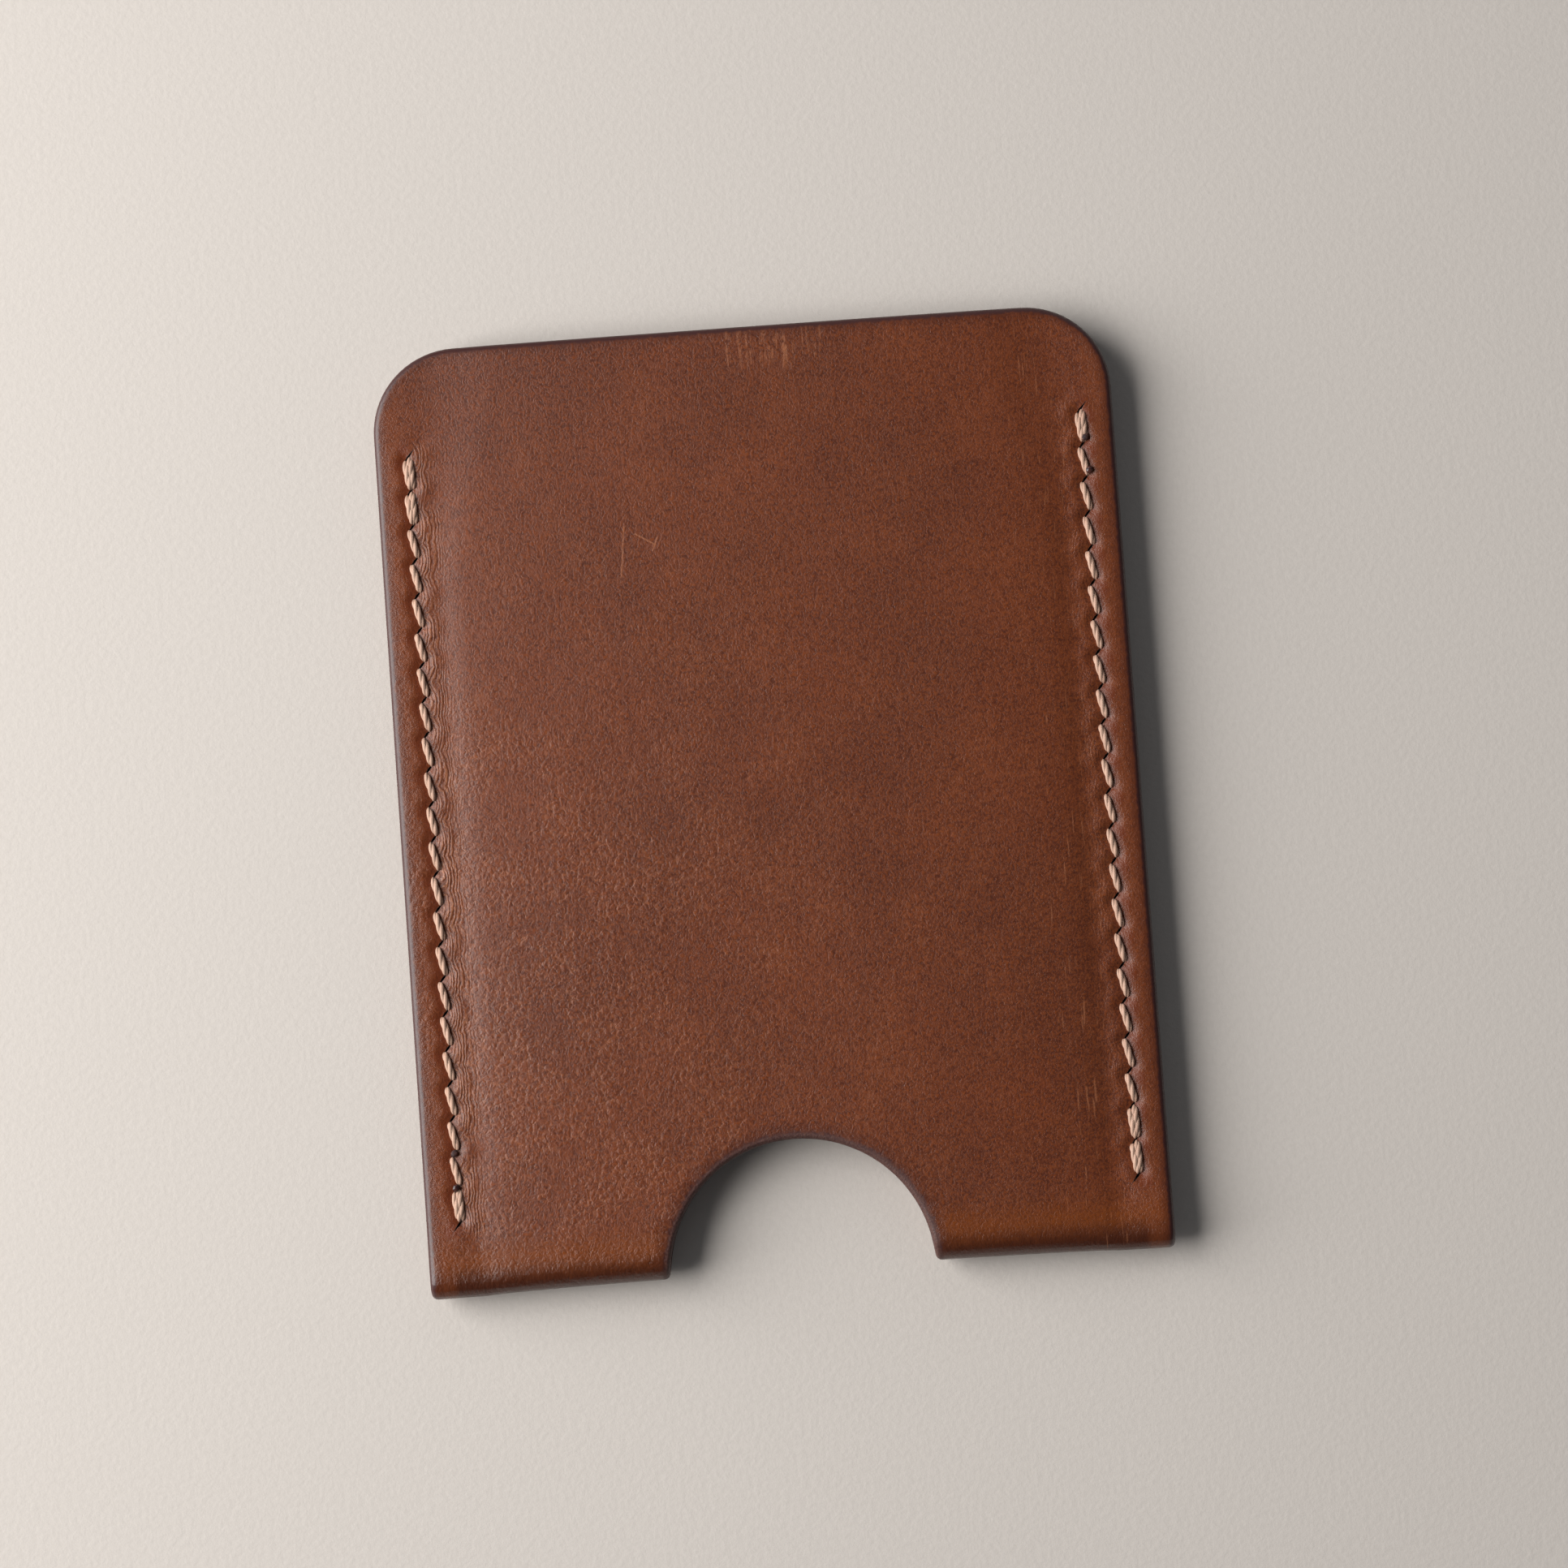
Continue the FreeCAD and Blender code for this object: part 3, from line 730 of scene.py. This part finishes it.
class HidePattern:
    # distances in millimetres and noises on the flat hide, shared by its colour, gloss and relief
    def __init__(self, start):
        self.flat = ownAttribute(start, "flat")
        self.u, self.v, self.w = self.flat.axes()
        self.across, self.down = self.u.size(), self.v.size()
        self.left = self.u.ramp(6, -6)
        self.measureEdges()
        self.measureSeam()
        self.makeNoises()
        self.markSlits()
        self.creaseSeam(start)

    def measureEdges(self):
        # to the cut edge all round, and to the punched notch
        radius = leather["cornerRadius"]
        x, y = self.across - (halfWidth - radius), self.down - (panelLength - radius)
        outside = (x.most(0) ** 2 + y.most(0) ** 2) ** 0.5
        self.toRim = radius - outside - x.most(y).least(0)
        self.toNotch = (self.u * self.u + self.v * self.v) ** 0.5 - leather["notchRadius"]
        self.toEdge = self.toRim.least(self.toNotch)

    def measureSeam(self):
        # in from the row of holes, and along it to the nearest hole, in stitches
        self.inward = seamX - self.across
        along = (slitV(0) - self.down) / seam["pitch"]
        self.nearHole = along - along.sum("ROUND", along)
        self.inSeam = along.ramp(-0.5, -0.2) * along.ramp(seam["stitches"] + 0.5, seam["stitches"] + 0.2)

    def makeNoises(self):
        flat = self.flat
        self.broad = flat.cloud(0.05, 3, 0.55)
        self.patches = flat.push(flat.cloud(0.5, 2, out=1), 1.4).cloud(0.16, 4, 0.6)
        self.speckle = flat.cloud(1.5, 5, 0.7)
        grain = flat.push(flat.cloud(2.2, 1, out=1), 0.35)
        self.ridges = grain.stretch(1, 0.85, 1).cloud(4.6, 4, 0.6).ramp(0.3, 0.7)
        self.pebble = grain.pebbles(hideGrain["pebble"])
        self.pore = flat.stretch(1.6, 0.8, 1).pebbles(1.1).ramp(0.13, 0.05) * self.speckle.ramp(0.5, 0.4)
        self.ragged = (self.toNotch.ramp(0.9, 0.5) * 0.9 + 0.1) * flat.stretch(1, 1, 0.5).cloud(6, 3, 0.7)
        felt = flat.cloud(2.2, 5, 0.7) * 0.6 + flat.stretch(1, 0.4, 1).cloud(5, 4, 0.7) * 0.4
        self.flesh = felt.ramp(0.35, 0.65)
        # most pebbled low on the left, hardly at all by the mouth; this share also sets the painted
        # highlight on the pebbles
        self.pebbly = self.u.ramp(20, -24) * 0.7 + 0.3
        self.pebbly = self.pebbly * self.down.ramp(92, 34) * self.patches.ramp(0.3, 0.6)
        # masks: the flesh side, the burnished rim and the waxed band on the fold
        self.rough = 1 - self.w.ramp(0.06, 0.3)
        self.rim = self.toRim.least(self.toNotch * 0.72) + (self.speckle - 0.5) * 0.7
        self.band = (self.down + self.patches * 3 + self.speckle * 1.6 - 2.3).ramp(6.2, 2.6)

    def markSlits(self):
        side = self.u.sum("SIGN", self.u)
        du, dv = self.u - side * seamX, -self.nearHole * seam["pitch"]
        lengthwise = (du * math.cos(slitTurn) + dv * math.sin(slitTurn)).size() / (seam["slitLength"] / 2)
        crosswise = (dv * math.cos(slitTurn) - du * math.sin(slitTurn)).size() / (seam["slitWidth"] / 2)
        self.inSlit = (lengthwise + crosswise).ramp(1.5, 0.95) * self.inSeam

    def creaseSeam(self, start):
        # creases run down the pocket side of the seam and bow round each hole
        bowed = ((self.inward - 0.1) ** 2 + (self.nearHole * (0.55 * seam["pitch"])) ** 2) ** 0.5
        slow = self.flat.stretch(1, 0.22, 1).cloud(0.9, 2, 0.5)
        waves = bowed * (2 * math.pi / hideGrain["creasePitch"]) + slow * 22 + self.speckle * 9
        self.crease = start.sum("SINE", waves)
        self.creased = (self.inward.ramp(0.2, 0.7) * bowed.ramp(3.4, 1.2) * self.inSeam
                        * (self.left * 0.75 + 0.25) * self.patches.ramp(0.3, 0.55))


def wornMarks(hide):
    # the scratches high on the front, and strokes rubbed down from the middle of the mouth
    scratch = segment(hide.u, hide.v, *scuffs[0])
    for scuffAndHighlight in scuffs[1:]:
        scratch = scratch.least(segment(hide.u, hide.v, *scuffAndHighlight))
    rubbed = hide.flat.stretch(1, 0.06, 1).cloud(3.6, 2, 0.5).ramp(0.5, 0.64)
    rubbed = rubbed * (hide.u - 2.5).size().ramp(8, 4) * hide.toRim.ramp(5.5, 2.5) * hide.v.ramp(0, 1)
    return (scratch + hide.speckle * 0.1).ramp(0.17, 0.06).most(rubbed * hide.speckle.ramp(0.35, 0.6))


def dyedColour(hide):
    # the grain side: clouds in the dye, ridges, pebbles and pores, the waxed fold, and painted shade
    # along the fold line; ridges, hollows and pebbles also carry painted highlight and shade
    col = hideColours
    colour = (hide.broad.ramp(0.36, 0.64) * 0.6 + 0.4).tint(col["umber"], col["body"])
    colour = (hide.patches.ramp(0.42, 0.7) * 0.3).tint(colour, col["tan"])
    # lighter ridges: partly thinner dye, partly painted highlight on the grain
    colour = (hide.ridges * 0.7).tint(colour, col["tan"])
    # painted highlight round the pebbles, strongest low on the left
    colour = (hide.pebble.ramp(0.45, 0.8) * hide.pebbly * 0.2).tint(colour, col["scuffAndHighlight"])
    # darker hollows between the ridges: partly dye, partly painted shade
    colour = ((1 - hide.ridges) * hide.speckle.ramp(0.7, 0.36) * 0.85).tint(colour, col["umber"])
    colour = (hide.pore * 0.5).tint(colour, col["pore"])
    colour = (hide.band * (0.45 + hide.ridges * 0.4)).tint(colour, col["amber"])
    # painted shade along the fold line, where the fold turns away from the light
    return ((hide.down + hide.speckle).ramp(4.0, 1.5) * 0.9).tint(colour, col["foldPaintedShade"])


def seamColour(hide, colour):
    # strokes, a painted highlight on the creases, wear, and the darker leather that the stitches press
    # down
    col, inward = hideColours, hide.inward
    hair = hide.flat.stretch(1, 0.07, 1).cloud(3.4, 3, 0.6)
    strokes = hair.ramp(0.6, 0.72) * inward.ramp(0.6, 1.6) * inward.ramp(9, 5) * (0.4 - hide.left * 0.25)
    colour = strokes.tint(colour, col["scuffAndHighlight"])
    # painted highlight on the crease crests beside the seam, strongest on the left
    colour = (hide.creased * hide.crease.ramp(0.35, 1.0) * 0.5).tint(colour, col["scuffAndHighlight"])
    colour = (wornMarks(hide) * 0.45).tint(colour, col["scuffAndHighlight"])
    colour = (inward.ramp(-0.2, -1.1) * 0.4).tint(colour, col["margin"])
    spot = ((inward + 0.75) / 0.75) ** 2 + ((hide.nearHole * seam["pitch"] - 0.75) / 0.9) ** 2
    wet = (inward + 0.45).size().ramp(0.7, 0.1).most(spot.ramp(1.3, 0.2)) * hide.inSeam
    return (wet * 0.65).tint(colour, col["wetSeam"])


def edgedColour(hide, colour):
    # the burnished rim, the flesh side and painted shade inside and round the slits
    col = hideColours
    colour = (hide.rim.ramp(1.6, 0.5) * 0.5).tint(colour, col["umber"])
    edge = hide.ragged.ramp(0.35, 0.6).tint(col["edge"], col["edgeFibre"])
    colour = (hide.rim + hide.ragged * 0.12).ramp(0.66, 0.38).tint(colour, edge)
    flesh = hide.flesh.tint(col["suedeDark"], col["suede"])
    flesh = hide.toEdge.ramp(0.5, 0.1).tint(flesh, col["edge"])
    # painted shade inside and round the slits
    return hide.inSlit.tint(hide.rough.tint(colour, flesh), col["slit"])


def hideGloss(hide):
    gloss = 0.39 + (hide.speckle - 0.5) * 0.2 - hide.ridges * 0.06 + hide.pore * 0.15
    gloss = gloss + hide.rim.ramp(0.9, 0.4) * (0.04 + hide.ragged * 0.4) - hide.band * 0.05
    return gloss + hide.rough * 0.4 + hide.inSlit * 0.3


def hideRelief(hide):
    # millimetres: the grain, then the flesh side, then fibres along the edge
    size = hideGrain
    pebbles = (1 - hide.pebble * hide.pebble) * hide.pebbly * size["pebbleHeight"]
    height = hide.ridges * size["ridgeHeight"] + pebbles - hide.pore * size["poreHeight"]
    height = height + hide.crease * hide.creased * size["creaseHeight"]
    height = height * hide.w.ramp(0.3, 0.9) * hide.toEdge.ramp(0.2, 0.9)
    height = height + hide.flesh * size["fleshHeight"] * hide.rough
    fibres = hide.flat.stretch(0.3, 0.3, 3).cloud(3, 2) * size["fibreHeight"] + hide.ragged * 0.1
    return height + fibres * hide.toEdge.ramp(0.6, 0.2)


def hideFinish():
    material, start, shader = newFinish("burnishedHide", IOR=1.5, Specular_IOR_Level=0.56)
    hide = HidePattern(start)
    colour = edgedColour(hide, seamColour(hide, dyedColour(hide)))
    connect(start, shader, hideRelief(hide), Base_Color=colour, Roughness=hideGloss(hide))
    return material


threadColours = dict(
    light=shade(206, 172, 150),
    fibre=shade(172, 134, 114),
    # painted shade for the thread where it sinks into the slits
    sunkenShade=shade(112, 74, 56),
)


def waxedThreadFinish():
    material, start, shader = newFinish("waxedLinen", Sheen_Weight=0.15, Sheen_Roughness=0.4)
    length, c, s = ownAttribute(start, "fibre").axes()      # along the ply, and round it
    turned = start.node("CombineXYZ", None, {0: length * 0.5 + c * 0.2, 1: c, 2: s})
    strands = turned.stretch(1, 3.2, 3.2).cloud(1.6, 3, 0.6)
    fuzz = turned.stretch(2, 9, 9).cloud(1.4, 2, 0.6)
    place = ownPlace(start)
    rise = thread["surface"] - middleZ
    holeShade = (place.axes()[2] - middleZ).size().ramp(rise - 0.2, rise - 0.6)      # painted shade, darker where the thread goes down into the holes
    blotch = place.cloud(0.7, 3, 0.6)
    colour = strands.ramp(0.35, 0.62).tint(threadColours["fibre"], threadColours["light"])
    colour = (blotch.ramp(0.5, 0.75) * 0.35).tint(colour, threadColours["fibre"])
    # painted shade where the thread sinks into the slits
    colour = (holeShade * 0.75).tint(colour, threadColours["sunkenShade"])
    roughness = 0.52 + (fuzz - 0.5) * 0.3
    height = strands * 0.014 + fuzz * 0.008
    connect(start, shader, height, Base_Color=colour, Roughness=roughness)
    return material


def singedFinish():
    material, start, shader = newFinish("singedLinen", IOR=1.5)
    place = ownPlace(start)
    lumps = place.cloud(2.6, 4, 0.6)
    ash = place.cloud(9, 3, 0.6)
    colour = lumps.ramp(0.38, 0.66).tint(shade(44, 24, 26), shade(92, 56, 48))
    colour = (ash.ramp(0.58, 0.72) * 0.35).tint(colour, shade(132, 94, 78))
    # the charred beads are matt, the ones that melted are glossy
    y = place.axes()[1]
    charred = [foldLineY + slitV(number) for ends in singedEnds.values()
               for number, _, glossy in ends if not glossy]
    matte = (y - charred[0]).size().least((y - charred[1]).size()).ramp(1.9, 1.3)
    roughness = 0.22 + matte * 0.5 + (ash - 0.5) * 0.15
    height = lumps * 0.05 + ash * (0.01 + matte * 0.03)
    connect(start, shader, height, Base_Color=colour, Roughness=roughness)
    return material


def cementFinish():
    material, start, shader = newFinish("burnishedCement", IOR=1.47)
    place = ownPlace(start)
    blobs = place.stretch(1, 0.6, 2).cloud(1.1, 4, 0.6)
    grit = place.cloud(7, 3, 0.6)
    colour = blobs.ramp(0.35, 0.65).tint(shade(40, 24, 22), shade(82, 52, 38))
    colour = (grit.ramp(0.6, 0.75) * 0.4).tint(colour, shade(120, 86, 62))
    roughness = 0.36 + (grit - 0.5) * 0.3
    connect(start, shader, blobs * 0.04 + grit * 0.015, Base_Color=colour, Roughness=roughness)
    return material


finishes = dict(hide=hideFinish(), thread=waxedThreadFinish(), singed=singedFinish(),
                cement=cementFinish())
leatherSkin.data.materials.append(finishes["hide"])
for piece in (leftThread, rightThread):
    piece.data.materials.append(finishes["thread"])
for piece in (leftBeads, rightBeads):
    piece.data.materials.append(finishes["singed"])
for node in ("left_glue_line", "right_glue_line"):
    for materialSlot in bpy.data.objects[node].material_slots:
        materialSlot.material = finishes["cement"]
print("finishes made:", ", ".join(m.name for m in finishes.values()))

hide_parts("leather_body")
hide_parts("left_seam_thread")
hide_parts("right_seam_thread")
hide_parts("left_thread_ends")
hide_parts("right_thread_ends")
for piece in (leatherSkin, leftThread, rightThread, leftBeads, rightBeads):
    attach(piece, "root")

notchArea = math.pi * leather["notchRadius"] ** 2
cornerLoss = (4 - math.pi) * leather["cornerRadius"] ** 2
2 * panelLength * mm
(4 * halfWidth * panelLength - notchArea - cornerLoss) * mm * mm

studio = dict(
    floor=8.0,                      # side of the floor, metres
    floorTone=shade(212, 207, 201),
    keyPlace=(-0.52, 0.08, 0.32),   # large softbox on the left
    keySize=0.62,
    keyPower=8.4,
    keyTone=(1.0, 0.965, 0.94),
    fillPlace=(0.4, 0.9, 0.5),
    fillSize=0.9,
    fillPower=0.8,
    fillTone=(0.93, 0.96, 1.0),
    worldTone=(0.62, 0.62, 0.64, 1.0),
    worldStrength=0.13,
)
view = dict(
    distance=0.5,           # from the lens to the middle of the holder
    elevation=86.4,         # seen from slightly below the fold
    roll=-4.1,
    frameWidth=0.152,       # what the frame takes in at that distance
    aim=(1.455, 1.406),     # where the middle of the frame falls, millimetres from the middle
)


def softbox(name, place, size, power, tone):
    data = bpy.data.lights.new(name, "AREA")
    data.shape = "SQUARE"
    data.size = size
    data.energy = power
    data.color = tone
    lamp = bpy.data.objects.new(name, data)
    lamp.location = place
    lamp.rotation_euler = (-Vector(place)).to_track_quat("-Z", "Y").to_euler()
    bpy.context.collection.objects.link(lamp)


def paleFloor():
    bm = bmesh.new()
    bmesh.ops.create_grid(bm, x_segments=2, y_segments=2, size=studio["floor"] / 2 / mm)
    floor = pieceFromBmesh(bm, "floor", smooth=False)
    material, start, shader = newFinish("paleFloor", IOR=1.4)
    mottle = ownPlace(start).cloud(1.6, 3, 0.6)
    colour = mottle.ramp(0.3, 0.7).tint(shade(209, 204, 198), studio["floorTone"])
    connect(start, shader, mottle * 0.03, Base_Color=colour, Roughness=0.7 + mottle * 0.2)
    floor.data.materials.append(material)


def studioCamera():
    data = bpy.data.cameras.new("camera")
    data.sensor_width = 36
    data.lens = data.sensor_width / 2 / (view["frameWidth"] / 2 / view["distance"])
    data.clip_start, data.clip_end = 0.01, 10
    camera = bpy.data.objects.new("camera", data)
    bpy.context.collection.objects.link(camera)
    tilt = math.radians(view["elevation"])
    aim = Vector((view["aim"][0] * mm, view["aim"][1] * mm, middleZ * mm))
    back = Vector((0, -math.cos(tilt), math.sin(tilt)))
    turn = (-back).to_track_quat("-Z", "Y").to_matrix().to_4x4()
    camera.matrix_world = (Matrix.Translation(aim + back * view["distance"]) @ turn
                           @ Matrix.Rotation(math.radians(view["roll"]), 4, "Z"))
    bpy.context.scene.camera = camera


paleFloor()
softbox("keySoftbox", studio["keyPlace"], studio["keySize"], studio["keyPower"], studio["keyTone"])
softbox("fillSoftbox", studio["fillPlace"], studio["fillSize"], studio["fillPower"], studio["fillTone"])
studioCamera()
world = bpy.data.worlds.new("studio")
world.use_nodes = True
world.node_tree.nodes["Background"].inputs["Color"].default_value = studio["worldTone"]
world.node_tree.nodes["Background"].inputs["Strength"].default_value = studio["worldStrength"]
bpy.context.scene.world = world
bpy.context.scene.view_settings.view_transform = "Standard"
print("floor, lights and camera set")
